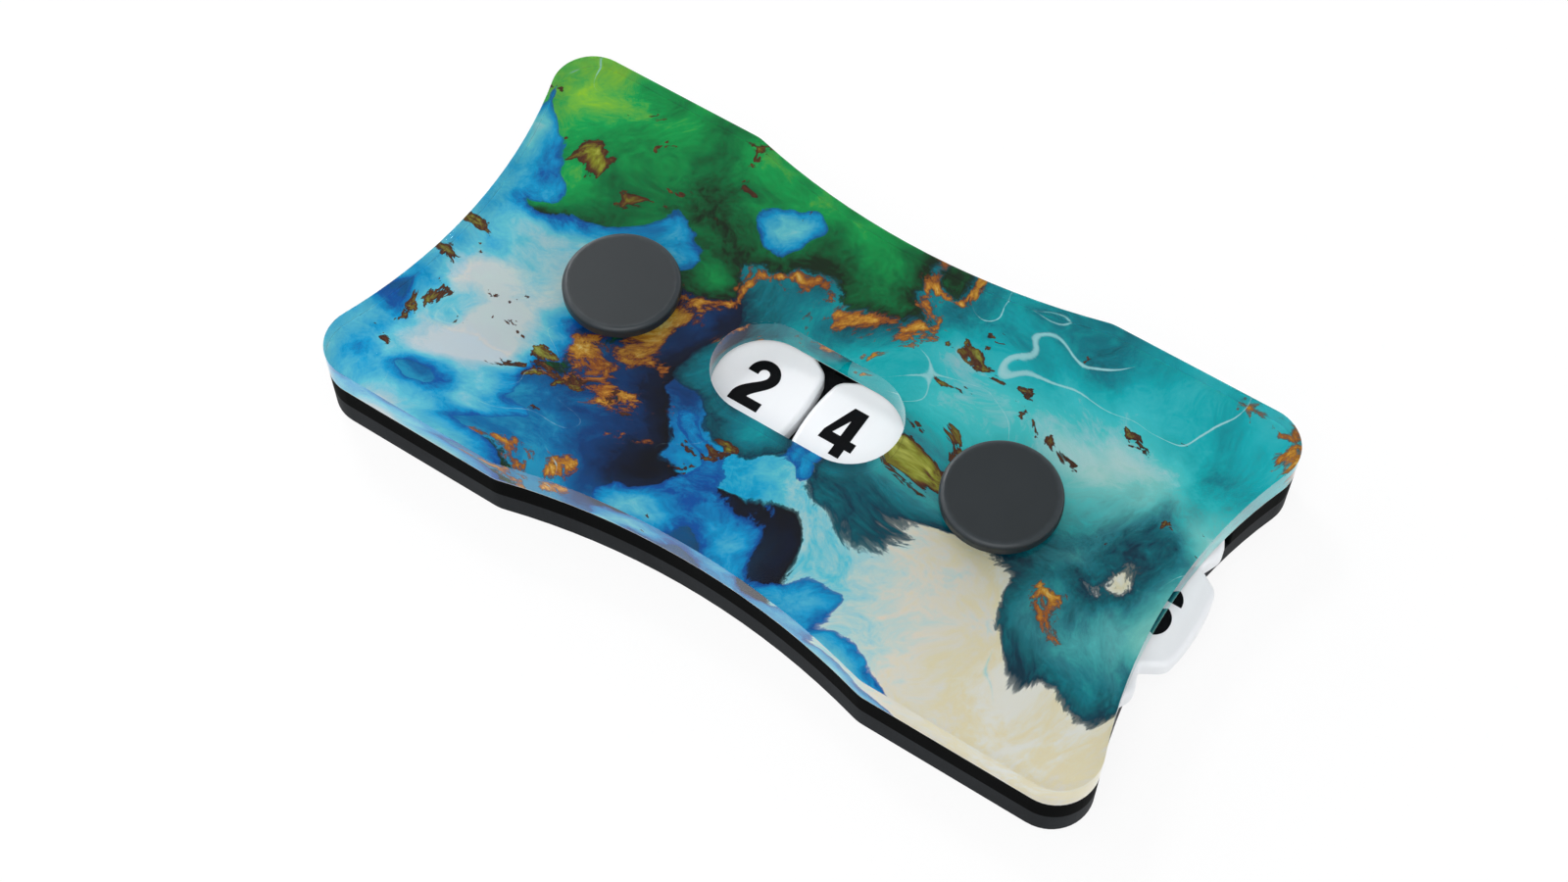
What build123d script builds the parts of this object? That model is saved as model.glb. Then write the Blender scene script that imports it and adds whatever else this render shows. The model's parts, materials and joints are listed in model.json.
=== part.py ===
from build123d import *
from math import cos, radians, sin
import os

# Every length is in millimetres. X runs along the counter, Y across it towards
# its far long side, and Z is up, from zero at the face that it rests on.

# Outline that the plates and rails share
body_length = 92.0
body_width = 46.9
waist_length = 42.1
side_hollow = 2.9
end_hollow = 5.4
corner_radius = 4.3
shoulder_radius = 4.0

# Layers, from the bottom up
bottom_plate_thickness = 3.0
bottom_edge_radius = 0.15
rail_thickness = 2.7
bond_film_thickness = 0.1
base_ink_thickness = 0.05
colour_ink_thickness = 0.05
cover_thickness = 3.2
overrun = 1.0

# Window in the cover
window_length = 20.8
window_width = 10.9

# Number wheels, one about each of two axes on the long centre line. Each is as
# large as the width and half the length leave room for.
numeral_count = 10
lobe_reach = 3.4
least_wheel_gap = 0.4
rail_wall = 1.2
notch_depth = 1.9
notch_mouth_width = 4.4
notch_floor_radius = 0.4
lobe_corner_radius = 1.8
wheel_top_edge_radius = 0.55
wheel_low_edge_radius = 0.25
wheel_side_gap = 0.35
wedge_tip_distance = 6.6
rail_tip_radius = 0.3

# Hub neck that carries each knob through the cover
neck_radius = 3.0
neck_hole_gap = 0.2
ink_hole_gap = 0.45
neck_flat_depth = 0.6
neck_in_knob = 0.8

# Knobs
knob_radius = 6.0
knob_height = 1.35
knob_lift = 0.1
knob_top_edge_radius = 0.5
knob_low_chamfer = 0.12
knob_socket_gap = 0.02

# Axles, bushes and washers
axle_radius = 1.5
axle_head_radius = 3.0
axle_head_height = 0.8
axle_head_recess = 0.1
axle_head_gap = 0.1
axle_tip_gap = 0.3
axle_tip_chamfer = 0.2
bush_wall = 0.6
bush_running_gap = 0.04
washer_outer_radius = 4.6
washer_thickness = 0.3
washer_bore_gap = 0.1
friction_ring_outer_radius = 6.0
friction_ring_thickness = 0.3
wheel_end_gap = 0.02

# Magnets that stop each wheel with a numeral in the window
wheel_magnet_radius = 1.25
wheel_magnet_height = 1.0
magnet_inset = 8.5
index_magnet_radius = 1.5
index_magnet_height = 1.5
magnet_recess = 0.1

# Countersunk screws from below into the rails
screw_radius = 1.0
screw_head_radius = 1.9
screw_head_height = 1.0
screw_length = 4.9
screw_recess = 0.05
screw_hole_gap = 0.1
screw_socket_width = 1.3
screw_socket_depth = 0.6
screw_socket_sides = 6
corner_screw_from_end = 6.0
corner_screw_from_side = 5.0
waist_screw_from_side = 4.0

# Numerals, inlaid in the wheels' upper faces
numeral_height = 5.85
numeral_width = 3.45
four_width = 3.8
stem_width = 1.16
bar_height = 1.1
numeral_depth = 0.3
numeral_proud = 0.03
tens_numeral_inset = 5.65
units_numeral_inset = 4.15
tens_shown = 2
units_shown = 4

# Sizes and places across that follow from the outline
waist_width = body_width - 2 * side_hollow
end_reach = body_length / 2 - end_hollow + lobe_reach
radius_by_width = body_width / 2 - rail_wall - wheel_side_gap
radius_by_length = (end_reach - least_wheel_gap / 2) / 2
wheel_radius = min(radius_by_width, radius_by_length)
half_spacing = end_reach - wheel_radius
magnet_circle_radius = wheel_radius - notch_depth - magnet_inset
bush_outer_radius = axle_radius + bush_running_gap + bush_wall
corner_screw_x = body_length / 2 - corner_screw_from_end
corner_screw_y = body_width / 2 - corner_screw_from_side
waist_screw_y = waist_width / 2 - waist_screw_from_side

# Heights that follow from the layers
rail_bottom = bottom_plate_thickness
bond_bottom = rail_bottom + rail_thickness
base_ink_bottom = bond_bottom + bond_film_thickness
colour_ink_bottom = base_ink_bottom + base_ink_thickness
cover_bottom = colour_ink_bottom + colour_ink_thickness
face_top = cover_bottom + cover_thickness
wheel_bottom = rail_bottom + washer_thickness + wheel_end_gap
ring_bottom = base_ink_bottom - friction_ring_thickness
wheel_top = ring_bottom - wheel_end_gap
knob_bottom = face_top + knob_lift
bush_bottom = wheel_bottom
bush_top = face_top
axle_bottom = axle_head_recess
axle_top = bush_top - axle_tip_gap


def disc(radius, bottom, top):
    """A round bar or disc on the Z axis between two heights."""
    return Pos(0, 0, bottom) * extrude(Circle(radius), top - bottom)


def ring(inner_radius, outer_radius, bottom, top):
    """A flat ring or tube on the Z axis between two heights."""
    return Pos(0, 0, bottom) * extrude(Circle(outer_radius) - Circle(inner_radius), top - bottom)


def outline():
    """Long sides drawn in at the waist, hollow ends and rounded corners."""
    end_x, side_y = body_length / 2, body_width / 2
    waist_x, waist_y = waist_length / 2, waist_width / 2
    edges = []
    for side in (1, -1):
        end, long_side = side * end_x, side * side_y
        hollow_x = side * (end_x - end_hollow)
        edges.append(ThreePointArc((end, -side_y), (hollow_x, 0), (end, side_y)))
        edges.append(Line((waist_x, long_side), (end_x, long_side)))
        edges.append(Line((-waist_x, long_side), (-end_x, long_side)))
        edges.append(ThreePointArc((-waist_x, long_side), (0, side * waist_y), (waist_x, long_side)))
    face = make_face(edges)
    corners = [v for v in face.vertices() if abs(v.X) > (waist_x + end_x) / 2]
    face = fillet(corners, corner_radius)
    shoulders = [v for v in face.vertices() if abs(abs(v.X) - waist_x) < shoulder_radius / 2]
    return fillet(shoulders, shoulder_radius)


def layer(bottom, thickness):
    """A plate or film of the whole outline."""
    return Pos(0, 0, bottom) * extrude(outline(), thickness)


def at_axes(shape):
    """The same shape about both wheels' axes."""
    return [Pos(side * half_spacing, 0, 0) * shape for side in (-1, 1)]


def screw_places():
    """Four screws near the corners and two at the waist."""
    places = [(sx * corner_screw_x, sy * corner_screw_y) for sx in (-1, 1) for sy in (-1, 1)]
    return places + [(0, -waist_screw_y), (0, waist_screw_y)]


def window(bottom, top):
    """The space of the window, round at both ends."""
    return Pos(0, 0, bottom) * extrude(SlotOverall(window_length, window_width), top - bottom)


def cover_plate():
    """Clear plate with the window and a hole for each neck."""
    plate = layer(cover_bottom, cover_thickness)
    low, high = cover_bottom - overrun, face_top + overrun
    return plate - window(low, high) - at_axes(disc(neck_radius + neck_hole_gap, low, high))


def ink_layer(bottom, thickness):
    """One printed layer under the cover, kept a little back from each neck."""
    low, high = bottom - overrun, bottom + thickness + overrun
    holes = at_axes(disc(neck_radius + ink_hole_gap, low, high))
    return layer(bottom, thickness) - window(low, high) - holes


def rail_outline(side):
    """What the wheels' round spaces leave of the outline on one long side."""
    room = wheel_radius + wheel_side_gap
    strip_width = body_width / 2 - wedge_tip_distance + overrun
    middle_y = wedge_tip_distance + strip_width / 2
    face = outline() & Pos(0, side * middle_y) * Rectangle(body_length + overrun, strip_width)
    for axis_x in (-half_spacing, half_spacing):
        face -= Pos(axis_x, 0) * Circle(room)
    tips = [v for v in face.vertices() if abs(v.Y) < body_width / 4]
    return fillet(tips, rail_tip_radius)


def rail(side):
    """Black rail between the plates, with its share of the screw holes."""
    body = Pos(0, 0, rail_bottom) * extrude(rail_outline(side), rail_thickness)
    hole_top = screw_recess + screw_length
    for x, y in screw_places():
        if y * side > 0:
            body -= Pos(x, y, 0) * disc(screw_radius, rail_bottom - overrun, hole_top)
    return body


def bond_film(side):
    """Film of the rail's outline that holds the printed cover to the rail."""
    return Pos(0, 0, bond_bottom) * extrude(rail_outline(side), bond_film_thickness)


def screw_cone(gap):
    """The space of a screw's head and shank, widened by a gap."""
    tip_z = screw_recess + screw_head_height
    head = Pos(0, 0, screw_recess) * extrude(Circle(screw_head_radius + gap), -screw_recess - overrun)
    profile = make_face(
        Polyline(
            (0, screw_recess),
            (screw_head_radius + gap, screw_recess),
            (screw_radius + gap, tip_z),
            (0, tip_z),
            close=True,
        )
    )
    return head, revolve(Plane.XZ * profile, Axis.Z)


def bottom_plate():
    """Plate with a soft lower edge and seats for axles, magnets and screws."""
    plate = layer(0, bottom_plate_thickness)
    plate = fillet(plate.faces().sort_by(Axis.Z)[0].edges(), bottom_edge_radius)
    seat = disc(axle_head_radius + axle_head_gap, -overrun, axle_head_recess + axle_head_height)
    plate -= at_axes(seat)
    plate -= at_axes(disc(axle_radius, 0, bottom_plate_thickness + overrun))
    magnet_bottom = bottom_plate_thickness - magnet_recess - index_magnet_height
    for x in index_magnet_places():
        plate -= Pos(x, 0, 0) * disc(index_magnet_radius, magnet_bottom, bottom_plate_thickness + overrun)
    mouth, cone = screw_cone(screw_hole_gap)
    shank = disc(screw_radius + screw_hole_gap, 0, bottom_plate_thickness + overrun)
    for x, y in screw_places():
        plate -= [Pos(x, y, 0) * tool for tool in (mouth, cone, shank)]
    return plate


def index_magnet_places():
    """Each index magnet lies under the wheel, on the window's side of its axis."""
    reach = half_spacing - magnet_circle_radius
    return (-reach, reach)


def index_magnets():
    """The two magnets held in the bottom plate."""
    top = bottom_plate_thickness - magnet_recess
    magnet = disc(index_magnet_radius, top - index_magnet_height, top)
    return Compound([Pos(x, 0, 0) * magnet for x in index_magnet_places()])


def screw():
    """Countersunk screw with a six-sided socket."""
    shank = disc(screw_radius, screw_recess, screw_recess + screw_length)
    body = screw_cone(0)[1] + shank
    hexagon = RegularPolygon(screw_socket_width / 2, screw_socket_sides, major_radius=False)
    return body - Pos(0, 0, screw_recess) * extrude(hexagon, screw_socket_depth)


def axle():
    """Headed pin pressed up through the bottom plate."""
    head_top = axle_bottom + axle_head_height
    pin = disc(axle_head_radius, axle_bottom, head_top) + disc(axle_radius, head_top, axle_top)
    return chamfer(pin.faces().sort_by(Axis.Z)[-1].edges(), axle_tip_chamfer)


def bush():
    """Plain bearing pressed into a wheel's hub."""
    return ring(axle_radius + bush_running_gap, bush_outer_radius, bush_bottom, bush_top)


def thrust_washer():
    """Slippery washer that a wheel stands on."""
    bore_radius = axle_radius + washer_bore_gap
    return ring(bore_radius, washer_outer_radius, rail_bottom, rail_bottom + washer_thickness)


def friction_ring():
    """Ring under the printed cover that keeps a wheel from spinning freely."""
    inner = neck_radius + ink_hole_gap
    return ring(inner, friction_ring_outer_radius, ring_bottom, base_ink_bottom)


def notch():
    """V-shaped notch that opens towards the rim, with a rounded floor."""
    floor, mouth = wheel_radius - notch_depth, wheel_radius + overrun
    half_mouth = notch_mouth_width / 2 * (mouth - floor) / notch_depth
    face = make_face(Polyline((floor, 0), (mouth, half_mouth), (mouth, -half_mouth), close=True))
    return fillet(face.vertices().sort_by(Axis.X)[0], notch_floor_radius)


def lobed_face():
    """Disc with a notch between each two lobes and rounded lobe corners."""
    face = Circle(wheel_radius)
    pitch = 360 / numeral_count
    for index in range(numeral_count):
        face -= Rot(0, 0, (index + 1 / 2) * pitch) * notch()
    rim = [v for v in face.vertices() if Vector(v.X, v.Y).length > wheel_radius - notch_floor_radius]
    return fillet(rim, lobe_corner_radius)


def neck_face():
    """Round neck with one flat, which turns the knob."""
    flat_x = neck_radius - neck_flat_depth
    keep = Pos(flat_x - neck_radius, 0) * Rectangle(2 * neck_radius, 2 * neck_radius + overrun)
    return Circle(neck_radius) & keep


def wheel_magnet_places():
    """One magnet under each numeral."""
    pitch = radians(360 / numeral_count)
    radius = magnet_circle_radius
    return [(radius * cos(index * pitch), radius * sin(index * pitch)) for index in range(numeral_count)]


def wheel_body(numerals):
    """White lobed wheel with its neck, before it is moved to its axis."""
    disc_body = Pos(0, 0, wheel_bottom) * extrude(lobed_face(), wheel_top - wheel_bottom)
    disc_body = fillet(disc_body.faces().sort_by(Axis.Z)[-1].edges(), wheel_top_edge_radius)
    disc_body = fillet(disc_body.faces().sort_by(Axis.Z)[0].edges(), wheel_low_edge_radius)
    body = disc_body + disc(neck_radius, wheel_bottom, knob_bottom)
    body += Pos(0, 0, knob_bottom) * extrude(neck_face(), neck_in_knob)
    body -= disc(bush_outer_radius, wheel_bottom - overrun, bush_top)
    pocket = disc(wheel_magnet_radius, wheel_bottom - overrun, wheel_bottom + wheel_magnet_height)
    for x, y in wheel_magnet_places():
        body -= Pos(x, y, 0) * pocket
    return body - numerals


def wheel_magnets():
    """The magnets held in one wheel."""
    magnet = disc(wheel_magnet_radius, wheel_bottom, wheel_bottom + wheel_magnet_height)
    return Compound([Pos(x, y, 0) * magnet for x, y in wheel_magnet_places()])


def knob():
    """Low round knob with a soft upper edge and a socket for the neck."""
    body = disc(knob_radius, knob_bottom, knob_bottom + knob_height)
    body = fillet(body.faces().sort_by(Axis.Z)[-1].edges(), knob_top_edge_radius)
    body = chamfer(body.faces().sort_by(Axis.Z)[0].edges(), knob_low_chamfer)
    socket = offset(neck_face(), knob_socket_gap, kind=Kind.INTERSECTION)
    return body - Pos(0, 0, knob_bottom - overrun) * extrude(socket, neck_in_knob + overrun)


# Numerals. Each is drawn with its lower left corner at zero, in shares of the
# numeral's width and height, and in the stem's and bar's own widths.
round_end_share = 0.49
upper_bowl_width_share = 0.96
lower_bowl_share = 0.61
one_flag_shares = [(0, 0.72), (0, 0.86), (0.3, 1), (0.62, 1), (0.62, 0.8), (0.4, 0.74)]
one_stem_share = 0.36
two_arch_share = 0.705
two_hook_share = 0.665
two_ankle_share = 0.46
two_heel_share = 0.13
two_outer_shares = [(0.58, 0.36), (1, 0.5)]
two_inner_shares = [(0.67, 0.55), (0.02, 0.4)]
three_gap_shares = (0.3, 0.72)
three_waist_share = 0.36
four_apex_share = 0.38
four_bar_share = 0.2
four_stem_share = 0.81
four_tip_share = 0.02
four_point_share = 0.38
four_counter_shares = [(0.5, 0.75), (0.5, 0.4), (0.25, 0.4)]
five_bowl_share = 0.62
five_gap_shares = (0.27, 0.44)
six_gap_shares = (0.58, 0.7)
six_bowl_share = 0.61
seven_foot_share = 0.17
seven_knee_share = 0.62
seven_inner_shares = [(0.22, 0.34), (0.42, 0.6)]
seven_outer_shares = [(0.57, 0.34), (0.76, 0.6)]


def box_face(left, low, right, high):
    """Upright rectangle between two corners."""
    middle = Pos((left + right) / 2, (low + high) / 2)
    return middle * Rectangle(right - left, high - low)


def oval(left, low, right, high):
    """Upright rectangle with nearly round ends."""
    middle = Pos((left + right) / 2, (low + high) / 2)
    width, height = right - left, high - low
    return middle * RectangleRounded(width, height, round_end_share * min(width, height))


def shares_face(shares, width=numeral_width):
    """Polygon through points given as shares of a numeral's width and height."""
    return make_face(Polyline(*[(x * width, y * numeral_height) for x, y in shares], close=True))


def bowl(left, low, right, high):
    """Closed ring of the stem's width at the sides and the bar's above and below."""
    counter = oval(left + stem_width, low + bar_height, right - stem_width, high - bar_height)
    return oval(left, low, right, high) - counter


def share_points(shares):
    """Points given as shares of a numeral's width and height."""
    return [(x * numeral_width, y * numeral_height) for x, y in shares]


def two_bowls():
    """The upper and lower rings, which share one bar where they meet."""
    inset = numeral_width * (1 - upper_bowl_width_share) / 2
    join = numeral_height * lower_bowl_share
    lower = bowl(0, 0, numeral_width, join)
    upper = bowl(inset, join - bar_height, numeral_width - inset, numeral_height)
    return lower, upper


def zero():
    return bowl(0, 0, numeral_width, numeral_height)


def one():
    stem_left = one_stem_share * numeral_width
    return box_face(stem_left, 0, stem_left + stem_width, numeral_height) + shares_face(one_flag_shares)


def two():
    """Hooked arch that sweeps down to a flat foot."""
    middle_x, arch_y = numeral_width / 2, two_arch_share * numeral_height
    inner_x, hook_y = numeral_width - stem_width, two_hook_share * numeral_height
    ankle = (two_ankle_share * numeral_width, bar_height)
    heel = (0, two_heel_share * numeral_height)
    edges = [
        Line((0, 0), (numeral_width, 0)),
        Line((numeral_width, 0), (numeral_width, bar_height)),
        Line((numeral_width, bar_height), ankle),
        Bezier(ankle, *share_points(two_outer_shares), (numeral_width, arch_y)),
        ThreePointArc((numeral_width, arch_y), (middle_x, numeral_height), (0, arch_y)),
        Line((0, arch_y), (0, hook_y)),
        Line((0, hook_y), (stem_width, hook_y)),
        Line((stem_width, hook_y), (stem_width, arch_y)),
        ThreePointArc((stem_width, arch_y), (middle_x, numeral_height - bar_height), (inner_x, arch_y)),
        Bezier((inner_x, arch_y), *share_points(two_inner_shares), heel),
        Line(heel, (0, 0)),
    ]
    return make_face(edges)


def three():
    """Two bowls opened on the left, with a short arm between them."""
    lower, upper = two_bowls()
    low, high = (share * numeral_height for share in three_gap_shares)
    arm_high = numeral_height * lower_bowl_share
    arm_low = arm_high - bar_height
    middle_x = numeral_width / 2
    face = lower + upper - box_face(-overrun, low, three_waist_share * numeral_width, high)
    return face - box_face(0, low, middle_x, arm_low) - box_face(0, arm_high, middle_x, high)


def four():
    bar_low = four_bar_share * numeral_height
    stem_right = four_stem_share * four_width
    point = make_face(
        Polyline(
            (0, bar_low),
            (four_width, bar_low),
            (four_width, bar_low + bar_height),
            (stem_right, bar_low + bar_height),
            (stem_right, numeral_height),
            (four_apex_share * four_width, numeral_height),
            (four_tip_share * four_width, four_point_share * numeral_height),
            close=True,
        )
    )
    stem = box_face(stem_right - stem_width, 0, stem_right, numeral_height)
    return point - shares_face(four_counter_shares, four_width) + stem


def five():
    bowl_high = five_bowl_share * numeral_height
    low, high = (share * numeral_height for share in five_gap_shares)
    curl = bowl(0, 0, numeral_width, bowl_high) - box_face(-overrun, low, numeral_width / 2, high)
    back = box_face(0, high, stem_width, numeral_height)
    top = box_face(0, numeral_height - bar_height, numeral_width, numeral_height)
    return curl + back + top


def six():
    low, high = (share * numeral_height for share in six_gap_shares)
    stroke = bowl(0, 0, numeral_width, numeral_height)
    stroke -= box_face(numeral_width / 2, 0, numeral_width + overrun, high)
    return stroke + bowl(0, 0, numeral_width, six_bowl_share * numeral_height)


def seven():
    """Top bar with a leg that bends down to the left."""
    bar_low = numeral_height - bar_height
    foot_x = seven_foot_share * numeral_width
    knee = (seven_knee_share * numeral_width, bar_low)
    leg = make_face(
        [
            Line((foot_x, 0), (foot_x + stem_width, 0)),
            Bezier((foot_x + stem_width, 0), *share_points(seven_outer_shares), (numeral_width, bar_low)),
            Line((numeral_width, bar_low), knee),
            Bezier(knee, *share_points(seven_inner_shares[::-1]), (foot_x, 0)),
        ]
    )
    return leg + box_face(0, bar_low, numeral_width, numeral_height)


def eight():
    lower, upper = two_bowls()
    return lower + upper


def nine():
    return Pos(numeral_width, numeral_height) * Rot(0, 0, 180) * six()


numeral_faces = [zero, one, two, three, four, five, six, seven, eight, nine]


def numerals(inset, shown, turn_sign, upright_turn):
    """All numerals of one wheel, with the shown one towards the window."""
    solids = []
    distance = wheel_radius - inset
    bottom = wheel_top - numeral_depth
    for value, draw in enumerate(numeral_faces):
        face = draw()
        centre = face.bounding_box().center()
        flat = Rot(0, 0, upright_turn) * Pos(-centre.X, -centre.Y) * face
        angle = turn_sign * (value - shown) * 360 / numeral_count
        place = Rot(0, 0, angle) * Pos(distance, 0)
        solids += (Pos(0, 0, bottom) * extrude(place * flat, numeral_depth + numeral_proud)).solids()
    return solids


def write(name, shape):
    """One file for each piece."""
    export_step(shape, "parts/" + name + ".step")


def write_dial(name, axis_x, facing, solids):
    """A wheel with all that turns with it, faced towards the window."""
    place = Pos(axis_x, 0, 0) * Rot(0, 0, facing)
    write(name + "_wheel", place * wheel_body(solids))
    write(name + "_numerals", Compound([place * solid for solid in solids]))
    write(name + "_wheel_magnets", place * wheel_magnets())
    write(name + "_bush", place * bush())
    write(name + "_knob", place * knob())


def write_pivot(name, axis_x):
    """What stays still about one wheel's axis."""
    place = Pos(axis_x, 0, 0)
    write(name + "_axle", place * axle())
    write(name + "_thrust_washer", place * thrust_washer())
    write(name + "_friction_ring", place * friction_ring())


os.makedirs("parts", exist_ok=True)
write("bottom_plate", bottom_plate())
write("rear_rail", rail(1))
write("front_rail", rail(-1))
write("rear_bond_film", bond_film(1))
write("front_bond_film", bond_film(-1))
write("cover_plate", cover_plate())
write("white_base_ink", ink_layer(base_ink_bottom, base_ink_thickness))
write("colour_print", ink_layer(colour_ink_bottom, colour_ink_thickness))
write("index_magnets", index_magnets())
write("back_screws", Compound([Pos(x, y, 0) * screw() for x, y in screw_places()]))
write_pivot("tens", -half_spacing)
write_pivot("units", half_spacing)
write_dial("tens", -half_spacing, 0, numerals(tens_numeral_inset, tens_shown, -1, 0))
write_dial("units", half_spacing, 180, numerals(units_numeral_inset, units_shown, 1, 180))
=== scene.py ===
import json
from math import radians

import bmesh
import bpy
from mathutils import Matrix, Vector


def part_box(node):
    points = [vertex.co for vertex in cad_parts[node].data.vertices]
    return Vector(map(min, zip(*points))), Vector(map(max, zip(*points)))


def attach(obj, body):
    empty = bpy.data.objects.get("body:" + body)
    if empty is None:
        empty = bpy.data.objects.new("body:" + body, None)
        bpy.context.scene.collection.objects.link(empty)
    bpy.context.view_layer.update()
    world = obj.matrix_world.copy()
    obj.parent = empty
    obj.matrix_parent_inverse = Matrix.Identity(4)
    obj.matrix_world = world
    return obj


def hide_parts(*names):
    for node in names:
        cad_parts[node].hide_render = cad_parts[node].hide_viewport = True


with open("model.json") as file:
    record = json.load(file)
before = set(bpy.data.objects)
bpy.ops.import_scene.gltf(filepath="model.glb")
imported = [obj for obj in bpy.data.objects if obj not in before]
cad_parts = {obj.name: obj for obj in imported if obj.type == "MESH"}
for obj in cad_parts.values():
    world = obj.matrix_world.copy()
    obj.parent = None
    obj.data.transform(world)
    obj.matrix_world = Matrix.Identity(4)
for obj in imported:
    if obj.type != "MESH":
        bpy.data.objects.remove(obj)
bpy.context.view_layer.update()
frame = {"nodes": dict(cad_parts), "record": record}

# Everything is in metres, in the frame of the plates and wheels: X runs along the
# counter, Y across it towards its far side, and Z is up from the face it rests on.
MM = 0.001

# How far each dial's axis stands from the middle, in millimetres
AXIS_X = abs(frame["record"]["behaviour"]["joints"][0]["pos_m"][0]) / MM

# Share of the print's light that gets out of the clear cover at once
LIGHT_OUT = 0.4

# How far the clear cover's underside is sunk into the ink, and the chamfer of its rims.
# Faces that meet at more than the sharp angle aren't shaded as one, and an upper edge
# of more than the rim angle gets the chamfer.
COVER_SINK = 0.01 * MM
COVER_ARRIS = 0.12 * MM
SHARP_ANGLE = radians(20)
RIM_ANGLE = radians(60)
ACRYLIC_IOR = 1.49

# The floor stands this much above the plate's underside, so the two faces don't coincide
FLOOR_LIFT = 0.02 * MM
FLOOR_SIDE = 4.0

# Distances from a knob's axis, in millimetres, between which its rim is rubbed smoother and
# lightened with a painted highlight
RUB_AND_HIGHLIGHT_START, RUB_AND_HIGHLIGHT_FULL = 5.35, 5.9

# The camera, in millimetres of the counter's frame
CAMERA_PLACE = (70.11, -111.58, 220.5)
CAMERA_AIM = (-0.2799, 0.4292, -0.8587)
CAMERA_UP = (-0.4729, 0.7168, 0.5124)
CAMERA_LENS = 58.41

# Light of the room's walls, how much of it the ceiling lacks, and the floor's own light
WALL_LIGHT = 0.98
CEILING_LOSS = 0.64
FLOOR_GLOW = 0.88

# Lamps: name, place, what it is aimed at, side of its square and power. The glossy cover
# mirrors each one to a camera on the other side.
MIDDLE = (0, 0, 0.008)
LEFT_KNOB = (-0.022, 0, 0.01)
LAMPS = [
    ("key", (-0.45, -0.1, 0.35), MIDDLE, 0.3, 0.45),
    ("top", (0.1, -0.25, 0.55), MIDDLE, 0.5, 1.9),
    ("sheen", (-0.36, 0.2, 0.42), LEFT_KNOB, 0.12, 0.9),
    ("low", (-0.5, 0.28, 0.2), MIDDLE, 0.25, 0.6),
]


class Wire:
    """An output of a shader node. Arithmetic on wires adds Math nodes."""

    def __init__(self, tree, socket):
        self.tree = tree
        self.socket = socket

    def node(self, kind, settings=None, sockets=None, output=0):
        """Any other node: its settings first, then the values or wires of its sockets."""
        made = self.tree.nodes.new(kind)
        for name, value in (settings or {}).items():
            if name == "stops":
                fill_ramp(made.color_ramp, value)
            else:
                setattr(made, name, value)
        for name, value in (sockets or {}).items():
            if isinstance(value, Wire):
                self.tree.links.new(value.socket, made.inputs[name])
            else:
                made.inputs[name].default_value = value
        return Wire(self.tree, made.outputs[output])

    def maths(self, operation, first, second=0.0):
        return self.node("ShaderNodeMath", {"operation": operation}, {0: first, 1: second})

    def __add__(self, other):
        return self.maths("ADD", self, other)

    def __radd__(self, other):
        return self.maths("ADD", other, self)

    def __sub__(self, other):
        return self.maths("SUBTRACT", self, other)

    def __rsub__(self, other):
        return self.maths("SUBTRACT", other, self)

    def __mul__(self, other):
        return self.maths("MULTIPLY", self, other)

    def __rmul__(self, other):
        return self.maths("MULTIPLY", other, self)

    def __truediv__(self, other):
        return self.maths("DIVIDE", self, other)

    def __abs__(self):
        return self.maths("ABSOLUTE", self)


def fill_ramp(ramp, stops):
    """Sets a ramp's stops, each a place from 0 to 1 and a colour."""
    while len(ramp.elements) < len(stops):
        ramp.elements.new(1.0)
    for element, (place, colour) in zip(ramp.elements, stops):
        element.position = place
        element.color = colour


def ink(red, green, blue):
    """A colour given as it shows on a screen, from 0 to 255."""
    shares = [value / 255 for value in (red, green, blue)]
    linear = [s / 12.92 if s <= 0.04045 else ((s + 0.055) / 1.055) ** 2.4 for s in shares]
    return (*linear, 1.0)


def seen(red, green, blue):
    """A print ink that shows as this colour, from 0 to 255, through the clear cover above it."""
    *shares, opaque = ink(red, green, blue)
    return (*(share / (LIGHT_OUT + (1 - LIGHT_OUT) * share) for share in shares), opaque)


def new_finish(name, **constants):
    """A finish: its material, its shader and the place on the object in millimetres."""
    material = bpy.data.materials.new(name)
    material.use_nodes = True
    tree = material.node_tree
    shader = tree.nodes["Principled BSDF"]
    for socket, value in constants.items():
        shader.inputs[socket.replace("_", " ")].default_value = value
    start = Wire(tree, tree.nodes.new("ShaderNodeTexCoord").outputs["Object"])
    place = vector_maths("SCALE", start, Scale=1 / MM)
    return material, shader, place


def feed(shader, **wires):
    """Lets wires vary some of the shader's sockets over the surface."""
    for socket, wire in wires.items():
        wire.tree.links.new(wire.socket, shader.inputs[socket.replace("_", " ")])


def vector_maths(operation, first, second=None, output=0, **sockets):
    """Vector Math on a wire, with another wire or a triple of numbers."""
    values = {0: first, **({} if second is None else {1: second}), **sockets}
    return first.node("ShaderNodeVectorMath", {"operation": operation}, values, output)


def noise(place, cell, detail=2.0, roughness=0.5, output="Fac"):
    """Soft noise from 0 to 1, with its largest forms about one cell apart."""
    sockets = {"Vector": place, "Scale": 1 / cell, "Detail": detail, "Roughness": roughness}
    return place.node("ShaderNodeTexNoise", {}, sockets, output)


def seeded(place, cell, seed, detail=2.0, roughness=0.5):
    """Soft noise with a pattern of its own for each seed."""
    sockets = {"Vector": place, "W": seed, "Scale": 1 / cell, "Detail": detail}
    settings = {"noise_dimensions": "4D"}
    return place.node("ShaderNodeTexNoise", settings, {**sockets, "Roughness": roughness})


def mix(factor, first, second):
    """From the first colour at factor 0 to the second at factor 1."""
    sockets = {0: factor, 6: first, 7: second}
    return factor.node("ShaderNodeMix", {"data_type": "RGBA"}, sockets, 2)


def between(value, low, high):
    """A soft step from 0 at low to 1 at high."""
    sockets = {"Value": value, "From Min": low, "From Max": high}
    return value.node("ShaderNodeMapRange", {"interpolation_type": "SMOOTHSTEP"}, sockets)


def ramp(value, stops):
    """Colours along a value, from a table of stops."""
    return value.node("ShaderNodeValToRGB", {"stops": stops}, {"Fac": value})


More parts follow.
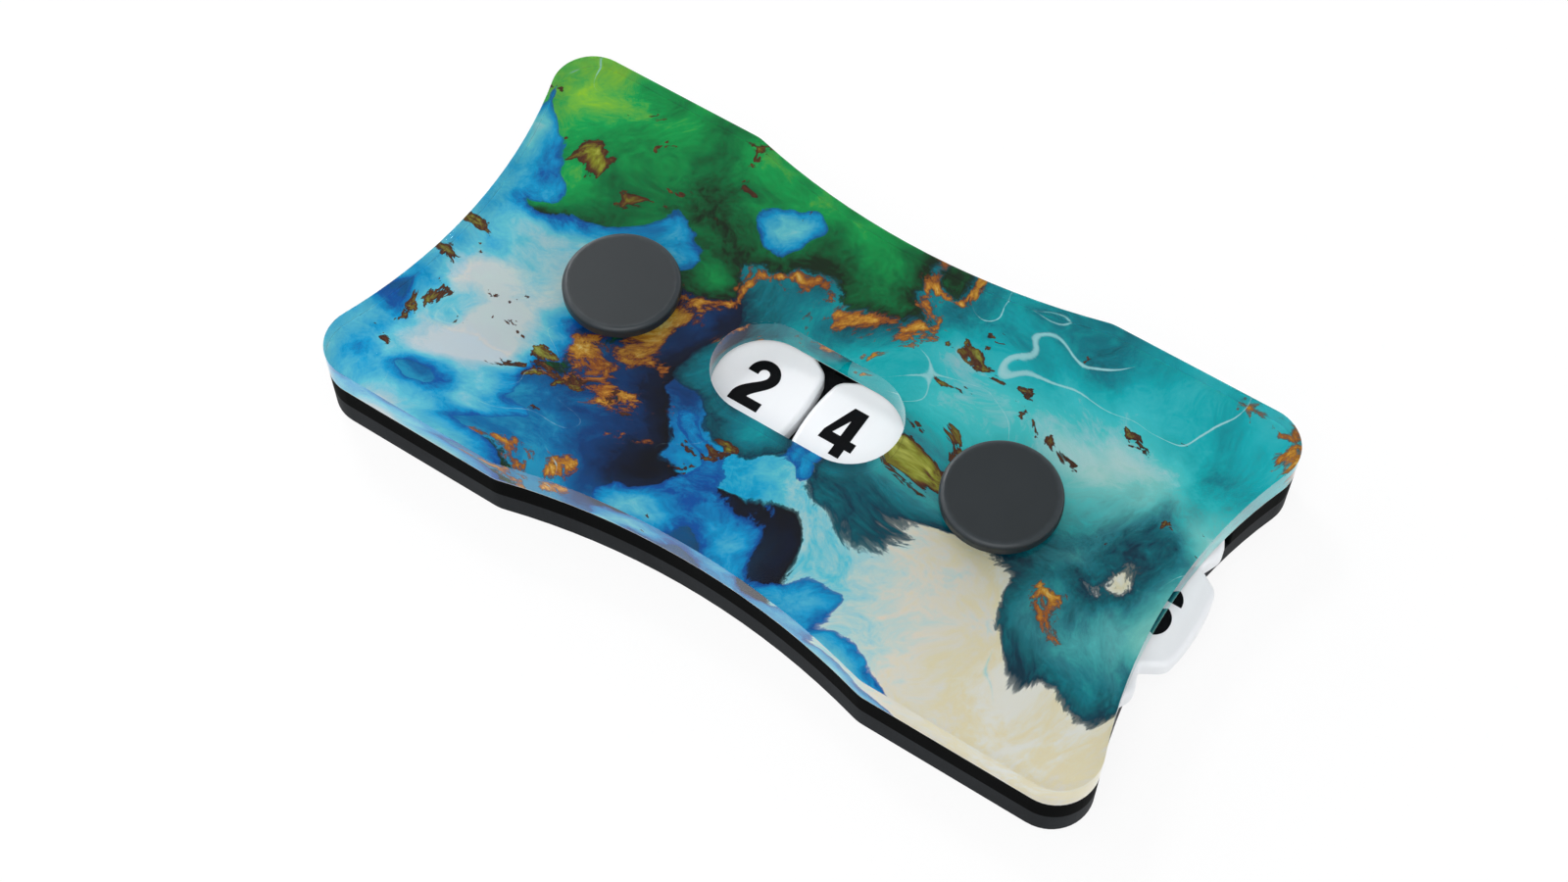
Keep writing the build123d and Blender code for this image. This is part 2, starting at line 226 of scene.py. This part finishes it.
def stretched(place, x, y, z):
    """The place drawn out: a pattern on it is longer where the share is smaller."""
    return vector_maths("MULTIPLY", place, (x, y, z))


def turned(place, angle):
    """The place turned about Z by an angle in degrees."""
    sockets = {"Vector": place, "Angle": radians(angle)}
    return place.node("ShaderNodeVectorRotate", {"rotation_type": "Z_AXIS"}, sockets)


def bent(place, cell, reach, detail=2.0):
    """The place pushed about by noise, by up to about half the reach each way."""
    centred = vector_maths("SUBTRACT", noise(place, cell, detail, output="Color"), (0.5, 0.5, 0.5))
    return vector_maths("ADD", place, vector_maths("SCALE", centred, Scale=reach))


def bump(height, depth):
    """Normals of a surface with that height, which is worth that depth in millimetres."""
    sockets = {"Height": height, "Strength": 1.0, "Distance": depth * MM}
    return height.node("ShaderNodeBump", {}, sockets)


def part_of(place, axis):
    """One coordinate of the place."""
    return place.node("ShaderNodeSeparateXYZ", {}, {0: place}, axis)


def away_from(place, point):
    """How far the place is from a point."""
    return vector_maths("DISTANCE", place, point, "Value")


def from_axis(place):
    """How far the place is from the nearer dial's axis."""
    folded = vector_maths("ABSOLUTE", stretched(place, 1.0, 1.0, 0.0))
    return away_from(folded, (AXIS_X, 0.0, 0.0))


def side_share(place):
    """1 on the upright sides of a piece and 0 on its flat faces."""
    normal = place.node("ShaderNodeNewGeometry", {}, {}, "Normal")
    upward = part_of(normal, "Z")
    return 1 - between(upward * upward, 0.2, 0.6)


def saw_lines(place, cell, detail, roughness):
    """Lines that run up the sides, as a saw or cutter leaves them."""
    return noise(stretched(place, 1.0, 1.0, 0.05), cell, detail, roughness)


def hairlines(place, angle):
    """1 on faint scratches that run one way, broken off here and there."""
    drawn = stretched(turned(bent(place, 14.0, 2.0), angle), 1.0, 0.02, 1.0)
    scratch = between(noise(drawn, 0.13, 1.0), 0.66, 0.72)
    return scratch * between(noise(place, 7.0), 0.5, 0.62)


def specks(place, cell, radius):
    """1 on scattered round specks of that radius, about one in each cell."""
    sockets = {"Vector": place, "Scale": 1 / cell}
    distance = place.node("ShaderNodeTexVoronoi", {}, sockets, "Distance")
    return 1 - between(distance, 0.4 * radius / cell, radius / cell)


def ring_noise(place, spacing, detail):
    """Noise from 0 to 1 that changes only with the distance from the dial's axis."""
    return seeded(stretched(place, 0.0, 0.0, 0.0), 1.0, from_axis(place) / spacing, detail)


# Inks of the print's ground, from the bright middle of its glow to the glow's reach
GLOW_CENTRE = (30.0, -12.0, 0.0)
GLOW_REACH = 56.0
GROUND_INKS = [
    (0.00, seen(255, 253, 243)),
    (0.12, seen(255, 246, 218)),
    (0.20, seen(250, 222, 160)),
    (0.27, seen(246, 230, 200)),
    (0.34, seen(186, 228, 218)),
    (0.44, seen(70, 196, 226)),
    (0.56, seen(0, 146, 214)),
    (0.68, seen(0, 92, 164)),
    (0.80, seen(4, 48, 100)),
    (1.00, seen(4, 12, 30)),
]

# Inks of the pools on it, each from a pool's rim to its middle
NAVY_INKS = [
    (0.00, seen(2, 4, 12)),
    (0.30, seen(4, 14, 36)),
    (0.60, seen(4, 44, 92)),
    (0.85, seen(0, 92, 160)),
    (1.00, seen(20, 140, 200)),
]
TEAL_INKS = [
    (0.00, seen(0, 36, 50)),
    (0.25, seen(0, 96, 108)),
    (0.50, seen(0, 156, 158)),
    (0.75, seen(50, 198, 190)),
    (1.00, seen(200, 240, 222)),
]
GREEN_INKS = [
    (0.00, seen(8, 28, 10)),
    (0.18, seen(0, 84, 40)),
    (0.42, seen(4, 142, 58)),
    (0.70, seen(116, 184, 20)),
    (1.00, seen(226, 216, 60)),
]
AMBER_INKS = [
    (0.00, seen(52, 20, 10)),
    (0.35, seen(140, 66, 18)),
    (0.65, seen(214, 128, 34)),
    (1.00, seen(250, 206, 96)),
]
AZURE_INKS = [
    (0.00, seen(0, 62, 140)),
    (0.22, seen(0, 132, 208)),
    (0.55, seen(80, 200, 236)),
    (1.00, seen(236, 250, 248)),
]
BROWN_INKS = [
    (0.00, seen(20, 14, 10)),
    (0.30, seen(70, 34, 16)),
    (0.60, seen(120, 116, 20)),
    (1.00, seen(214, 196, 60)),
]
LINE_INKS = [
    (0.00, seen(120, 214, 222)),
    (0.30, seen(216, 242, 238)),
    (1.00, seen(255, 255, 250)),
]

# Level of the noise that the print's layout is cut from, in millimetres
LAYOUT_LEVEL = (0.0, 0.0, 166.0)


def slanted(place, x, y, start=0.0):
    """A value that rises by those shares for each millimetre along X and along Y."""
    return part_of(place, "X") * x + part_of(place, "Y") * y + start


def wash(below, field, texture, inks, depth, cover, edge):
    """A pool of ink over what is below, wherever the field is above 0.

    It has a dark rim, whose width the edge gives, and thins inwards until, at that
    depth of the field, it covers only the cover's share of what is below.
    """
    tone = ramp(field / depth + texture, inks)
    thinned = between(field, 0.1 * depth, depth) * (1 - cover)
    body = between(field, 0.0, 0.01) * (1 - thinned)
    rim = between(field, 0.0, 0.004) * (1 - between(field, 0.004, edge))
    return mix(rim * 0.7, mix(body, below, tone), inks[0][1])


def print_colour(above):
    """Colour of the abstract print below each place: pools of ink on a bright ground."""
    place = vector_maths("ADD", stretched(above, 1.0, 1.0, 0.0), LAYOUT_LEVEL)
    slow = bent(place, 38.0, 34.0)
    flow = bent(slow, 12.0, 9.0, 3.0)
    fine = bent(flow, 3.0, 1.7, 5.0)
    mottle = (seeded(fine, 6.0, 2.0, 8.0, 0.62) - 0.5) * 1.1
    grain = (seeded(bent(fine, 1.2, 0.7, 3.0), 1.1, 5.0, 5.0, 0.7) - 0.5) * 0.6
    texture = mottle + grain
    ragged = grain * 0.06

    glow = away_from(stretched(fine, 1.0, 1.0, 0.0), GLOW_CENTRE)
    colour = ramp(glow / GLOW_REACH + texture * 0.42, GROUND_INKS)

    # Each pool's field is noise less a level, plus a slant that favours one side
    navy = seeded(flow, 30.0, 3.0, 3.0) - 0.5 + slanted(place, -0.005, -0.004, -0.04)
    navy = navy + ragged + mottle * 0.04
    colour = wash(colour, navy, texture * 0.5, NAVY_INKS, depth=0.26, cover=0.8, edge=0.02)

    teal = seeded(flow, 26.0, 8.0) - 0.52 + slanted(place, 0.0, 0.004)
    teal = teal + ragged + mottle * 0.04
    colour = wash(colour, teal, texture * 0.5, TEAL_INKS, depth=0.24, cover=0.7, edge=0.016)

    wide = seeded(stretched(flow, 0.7, 1.0, 1.0), 21.0, 14.0)
    green = wide - 0.55 + slanted(place, -0.002, 0.005) + ragged * 1.6
    body = green + mottle * 0.05
    colour = wash(colour, body, texture * 0.45, GREEN_INKS, depth=0.3, cover=0.95, edge=0.014)

    # Amber gathers in a broken line just outside the green's edge
    broken = (seeded(fine, 2.4, 21.0, 7.0, 0.7) - 0.52) * 0.12
    amber = 0.016 - abs(green + 0.01) + broken
    tone = texture * 0.6 + 0.1
    colour = wash(colour, amber, tone, AMBER_INKS, depth=0.04, cover=1.0, edge=0.008)

    azure = seeded(flow, 17.0, 27.0) - 0.6 + slanted(place, -0.003, -0.003)
    azure = azure + ragged + mottle * 0.03
    colour = wash(colour, azure, texture * 0.6, AZURE_INKS, depth=0.16, cover=0.85, edge=0.012)

    gathered = (seeded(slow, 22.0, 43.0) - 0.5) * 0.9
    brown = seeded(fine, 4.5, 41.0, 5.0, 0.6) - 0.69 + gathered + ragged
    colour = wash(colour, brown, tone, BROWN_INKS, depth=0.16, cover=0.9, edge=0.01)

    # Thin light lines where slow noise crosses its middle, in some parts only
    some = (seeded(slow, 20.0, 35.0) - 0.57) * 0.05
    line = 0.003 - abs(seeded(slow, 13.0, 33.0, 1.0) - 0.5) + some + ragged * 0.2
    return wash(colour, line, texture * 0.3, LINE_INKS, depth=0.012, cover=0.9, edge=0.001)


def colour_print_finish():
    """Abstract print, wetted out against the cover's smooth underside."""
    material, shader, place = new_finish("colour_print_inks", Specular_IOR_Level=0.0)
    screen = noise(place, 0.3)
    roughness = 0.3 + noise(place, 5.0, 4.0, 0.6) * 0.1 + screen * 0.06
    feed(shader, Base_Color=print_colour(place), Roughness=roughness, Normal=bump(screen, 0.0008))
    return material


def cut_sheet_finish(name, dark, light, **constants):
    """Acrylic sheet: polished faces with hairlines and dust, and upright saw lines on its sides."""
    material, shader, place = new_finish(name, **constants)
    side = side_share(place)
    saw = saw_lines(place, 0.24, 3.0, 0.65)
    marks = hairlines(place, 70) + hairlines(place, -35) + specks(place, 2.3, 0.07)
    tone = noise(place, 9.0, 5.0, 0.6) * 0.6 + saw * side * 0.4 + marks * 0.25
    roughness = 0.24 + noise(place, 4.0, 3.0) * 0.1 + side * (0.12 + saw * 0.16) + marks * 0.2
    relief = saw * side + noise(place, 0.2) * 0.12
    feed(shader, Base_Color=mix(between(tone, 0.2, 0.8), dark, light), Roughness=roughness)
    feed(shader, Normal=bump(relief, 0.012))
    return material


def clear_cover_finish():
    """Clear acrylic: polished faces with a few hairlines, cut sides faintly sawn and polished."""
    constants = {"IOR": ACRYLIC_IOR, "Transmission_Weight": 1.0}
    material, shader, place = new_finish("clear_cover_acrylic", **constants)
    side = side_share(place)
    saw = saw_lines(place, 0.35, 2.0, 0.5) * side
    scratch = (hairlines(place, 25) + hairlines(place, -60)) * (1 - side)
    tone = mix(noise(place, 8.0, 3.0), ink(250, 253, 253), ink(255, 255, 255))
    roughness = scratch * 0.12 + side * 0.02 + saw * 0.06
    feed(shader, Base_Color=tone, Roughness=roughness, Normal=bump(saw + scratch * 0.1, 0.003))
    return material


def white_ink_finish():
    """Flat white base ink with the fine grain of its screen."""
    material, shader, place = new_finish("white_base_ink_matt", Specular_IOR_Level=0.3)
    grain = noise(place, 0.12, 3.0, 0.7)
    patches = noise(place, 3.0, 4.0)
    tone = mix(patches * 0.6 + grain * 0.4, ink(226, 228, 226), ink(250, 250, 247))
    feed(shader, Base_Color=tone, Roughness=0.5 + grain * 0.2, Normal=bump(grain, 0.004))
    return material


def wheel_finish():
    """Glossy white moulding with soft flow marks, dust and rubbed rings about its axis."""
    material, shader, place = new_finish("wheel_white_gloss", Specular_IOR_Level=0.4)
    flow = noise(bent(place, 6.0, 3.0), 5.0, 4.0, 0.55)
    rings = ring_noise(place, 0.14, 2.0)
    dust = specks(place, 2.7, 0.06) * between(noise(place, 5.0), 0.5, 0.6)
    tone = mix(flow * 0.7 + rings * 0.3, ink(236, 238, 241), ink(249, 250, 251))
    colour = mix(dust * 0.35, tone, ink(150, 150, 152))
    roughness = 0.26 + flow * 0.08 + rings * 0.06 + dust * 0.3
    relief = noise(place, 0.4, 3.0) * 0.4 + rings * 0.6
    feed(shader, Base_Color=colour, Roughness=roughness, Normal=bump(relief, 0.0025))
    return material


def numeral_finish():
    """Near-black inlay with a fine grain."""
    material, shader, place = new_finish("numeral_black_inlay", Specular_IOR_Level=0.06)
    grain = noise(place, 0.1, 4.0, 0.7)
    patches = noise(place, 1.6, 4.0)
    tone = mix(patches * 0.5 + grain * 0.5, ink(4, 5, 7), ink(13, 15, 18))
    feed(shader, Base_Color=tone, Roughness=0.42 + grain * 0.2, Normal=bump(grain, 0.006))
    return material


def knob_finish():
    """Satin slate plastic: fine grain, faint turning rings and a rubbed rim, lightened with a
    painted highlight.
    """
    material, shader, place = new_finish("knob_slate_satin", Specular_IOR_Level=0.3)
    radius = from_axis(place) + noise(place, 0.9, 3.0) * 0.4
    grain = noise(place, 0.11, 3.0, 0.65)
    rings = ring_noise(place, 0.11, 2.0)
    rubbed_and_highlit = between(radius, RUB_AND_HIGHLIGHT_START, RUB_AND_HIGHLIGHT_FULL) * (1 - side_share(place))
    mottle = noise(place, 3.4, 5.0, 0.6)
    tone = mottle * 0.5 + grain * 0.35 + rings * 0.15
    # The rim is rubbed smoother (real wear) and its colour lightened towards a lit slate tone (a
    # painted highlight)
    colour = mix(rubbed_and_highlit * 0.4, mix(tone, ink(30, 35, 37), ink(40, 45, 48)), ink(70, 76, 80))
    roughness = 0.34 + grain * 0.12 + mottle * 0.06 - rubbed_and_highlit * 0.12
    relief = grain * 0.8 + rings * 0.2
    feed(shader, Base_Color=colour, Roughness=roughness, Normal=bump(relief, 0.008))
    return material


def turned_metal_finish(name, dark, light, roughness):
    """Metal turned or ground about a dial's axis, with fine rings and dull patches."""
    material, shader, place = new_finish(name, Metallic=1.0)
    rings = ring_noise(place, 0.06, 3.0)
    patches = noise(place, 1.4, 5.0, 0.65)
    tone = mix(rings * 0.6 + patches * 0.4, dark, light)
    feed(shader, Base_Color=tone, Roughness=roughness + patches * 0.16, Normal=bump(rings, 0.004))
    return material


def grained_finish(name, dark, light, roughness, cell, depth, **constants):
    """A grain of that cell and depth, with duller patches over it."""
    material, shader, place = new_finish(name, **constants)
    grain = noise(place, cell, 5.0, 0.7)
    patches = noise(place, 9 * cell, 3.0)
    tone = mix(grain * 0.5 + patches * 0.5, dark, light)
    feed(shader, Base_Color=tone, Roughness=roughness + grain * 0.2, Normal=bump(grain, depth))
    return material


FINISHES = {
    "charcoal_plastic": cut_sheet_finish(
        "charcoal_plate_sheet", ink(27, 29, 31), ink(41, 44, 47), Specular_IOR_Level=0.02
    ),
    "black_plastic": cut_sheet_finish(
        "black_rail_sheet", ink(6, 7, 7), ink(13, 14, 14), Specular_IOR_Level=0.004
    ),
    "bond_film": grained_finish(
        "bond_film_black", ink(14, 14, 15), ink(28, 28, 30),
        roughness=0.6, cell=0.15, depth=0.01, Specular_IOR_Level=0.2
    ),
    "clear_acrylic": clear_cover_finish(),
    "white_ink": white_ink_finish(),
    "colour_ink": colour_print_finish(),
    "magnet_plating": grained_finish(
        "magnet_nickel", ink(196, 193, 184), ink(226, 224, 217),
        roughness=0.14, cell=0.3, depth=0.004, Metallic=1.0
    ),
    "screw_steel": grained_finish(
        "screw_black_steel", ink(36, 36, 38), ink(74, 74, 78),
        roughness=0.26, cell=0.12, depth=0.006, Metallic=1.0
    ),
    "axle_steel": turned_metal_finish(
        "axle_ground_steel", ink(150, 150, 151), ink(204, 204, 203), roughness=0.22
    ),
    "washer_plastic": grained_finish(
        "washer_natural", ink(214, 210, 198), ink(236, 233, 223),
        roughness=0.4, cell=0.2, depth=0.008, Specular_IOR_Level=0.3
    ),
    "ring_rubber": grained_finish(
        "ring_rubber_black", ink(18, 18, 18), ink(34, 34, 34),
        roughness=0.75, cell=0.18, depth=0.015, Specular_IOR_Level=0.3
    ),
    "white_plastic": wheel_finish(),
    "numeral_ink": numeral_finish(),
    "bush_bronze": grained_finish(
        "bush_sintered_bronze", ink(150, 108, 58), ink(204, 160, 98),
        roughness=0.32, cell=0.09, depth=0.01, Metallic=1.0
    ),
    "knob_plastic": knob_finish(),
}


def dress_frame():
    """Every plate, wheel and fitting takes the finish of its slot."""
    for part in frame["record"]["subparts"]:
        slots = frame["nodes"][part["node"]].material_slots
        slots[0].material = FINISHES[part["material_slot"]]


def clear_cover():
    """Clear plate with a fine arris, its underside sunk just into the ink, so the print shows."""
    low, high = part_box("cover_plate")
    middle = (low.z + high.z) / 2
    shape = bmesh.new()
    shape.from_mesh(frame["nodes"]["cover_plate"].data)
    bmesh.ops.remove_doubles(shape, verts=shape.verts, dist=0.001 * MM)
    rims = [
        edge for edge in shape.edges
        if edge.calc_face_angle(0.0) > RIM_ANGLE and min(end.co.z for end in edge.verts) > middle
    ]
    bmesh.ops.bevel(
        shape, geom=rims, offset=COVER_ARRIS, segments=2,
        profile=0.5, affect="EDGES", material=-1, clamp_overlap=True
    )
    for corner in shape.verts:
        if corner.co.z <= middle:
            corner.co.z -= COVER_SINK
    for face in shape.faces:
        face.smooth = True
    for edge in shape.edges:
        edge.smooth = edge.calc_face_angle(0.0) < SHARP_ANGLE
    mesh = bpy.data.meshes.new("clear_cover")
    shape.to_mesh(mesh)
    shape.free()
    cover = bpy.data.objects.new("clear_cover", mesh)
    bpy.context.scene.collection.objects.link(cover)
    mesh.materials.append(FINISHES["clear_acrylic"])
    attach(cover, "case")
    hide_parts("cover_plate")


def pale_floor():
    """Floor that looks white, keeps the counter's soft shadow and is clear from below."""
    bpy.ops.mesh.primitive_plane_add(size=FLOOR_SIDE, location=(0, 0, FLOOR_LIFT))
    floor = bpy.context.object
    floor.name = "floor"
    material = bpy.data.materials.new("floor_white")
    material.use_nodes = True
    tree = material.node_tree
    shader = tree.nodes["Principled BSDF"]
    shader.inputs["Base Color"].default_value = (0.93, 0.93, 0.93, 1)
    shader.inputs["Roughness"].default_value = 0.9
    path = tree.nodes.new("ShaderNodeLightPath").outputs
    camera, glossy, through = (
        Wire(tree, path[name])
        for name in ("Is Camera Ray", "Is Glossy Ray", "Is Transmission Ray")
    )
    looking = camera + glossy + through
    settings = {"operation": "MULTIPLY", "use_clamp": True}
    share = looking.node("ShaderNodeMath", settings, {0: looking, 1: FLOOR_GLOW})
    glow = share.node("ShaderNodeEmission")
    both = {0: share, 1: Wire(tree, shader.outputs[0]), 2: glow}
    above = share.node("ShaderNodeMixShader", {}, both)
    below = share.node("ShaderNodeBsdfTransparent")
    behind = share.node("ShaderNodeNewGeometry", {}, {}, "Backfacing")
    either = behind.node("ShaderNodeMixShader", {}, {0: behind, 1: above, 2: below})
    tree.links.new(either.socket, tree.nodes["Material Output"].inputs["Surface"])
    floor.data.materials.append(material)


def softbox(name, place, aim, size, power):
    """Square lamp at a place, turned to its aim."""
    lamp = bpy.data.lights.new(name, "AREA")
    lamp.size = size
    lamp.energy = power
    holder = bpy.data.objects.new(name, lamp)
    bpy.context.scene.collection.objects.link(holder)
    direction = Vector(aim) - Vector(place)
    holder.location = place
    holder.rotation_euler = direction.to_track_quat("-Z", "Y").to_euler()


def studio():
    """Plain soft lamps in a room with pale walls, a dimmer ceiling and a white backdrop."""
    world = bpy.data.worlds.new("pale_room")
    bpy.context.scene.world = world
    world.use_nodes = True
    tree = world.node_tree
    room = tree.nodes["Background"]
    room.inputs["Color"].default_value = (0.95, 0.97, 1.0, 1)
    start = Wire(tree, tree.nodes.new("ShaderNodeTexCoord").outputs["Generated"])
    ceiling = between(part_of(start, "Z"), 0.1, 0.85)
    tree.links.new((WALL_LIGHT - ceiling * CEILING_LOSS).socket, room.inputs["Strength"])

    # The backdrop shows to the camera, also through the cover, but lights no surface
    backdrop = start.node("ShaderNodeBackground", {}, {"Color": (1, 1, 1, 1)})
    path = tree.nodes.new("ShaderNodeLightPath").outputs
    camera, through, bounces = (
        Wire(tree, path[name])
        for name in ("Is Camera Ray", "Is Transmission Ray", "Diffuse Depth")
    )
    choice = camera + through * (1 - between(bounces, 0.0, 1.0))
    both = {0: choice, 1: Wire(tree, room.outputs[0]), 2: backdrop}
    either = choice.node("ShaderNodeMixShader", {}, both)
    tree.links.new(either.socket, tree.nodes["World Output"].inputs["Surface"])
    for lamp in LAMPS:
        softbox(*lamp)


def photo_camera():
    """Camera at the picture's place and angle."""
    data = bpy.data.cameras.new("camera")
    data.sensor_width = 36.0
    data.lens = CAMERA_LENS
    data.clip_start = 0.005
    data.clip_end = 20.0
    holder = bpy.data.objects.new("camera", data)
    bpy.context.scene.collection.objects.link(holder)
    forward = Vector(CAMERA_AIM).normalized()
    right = forward.cross(Vector(CAMERA_UP)).normalized()
    up = right.cross(forward)
    turn = Matrix((right, up, -forward)).transposed().to_4x4()
    holder.matrix_world = Matrix.Translation(Vector(CAMERA_PLACE) * MM) @ turn
    bpy.context.scene.camera = holder


bpy.context.scene.view_settings.view_transform = "Standard"
dress_frame()
clear_cover()
pale_floor()
studio()
photo_camera()
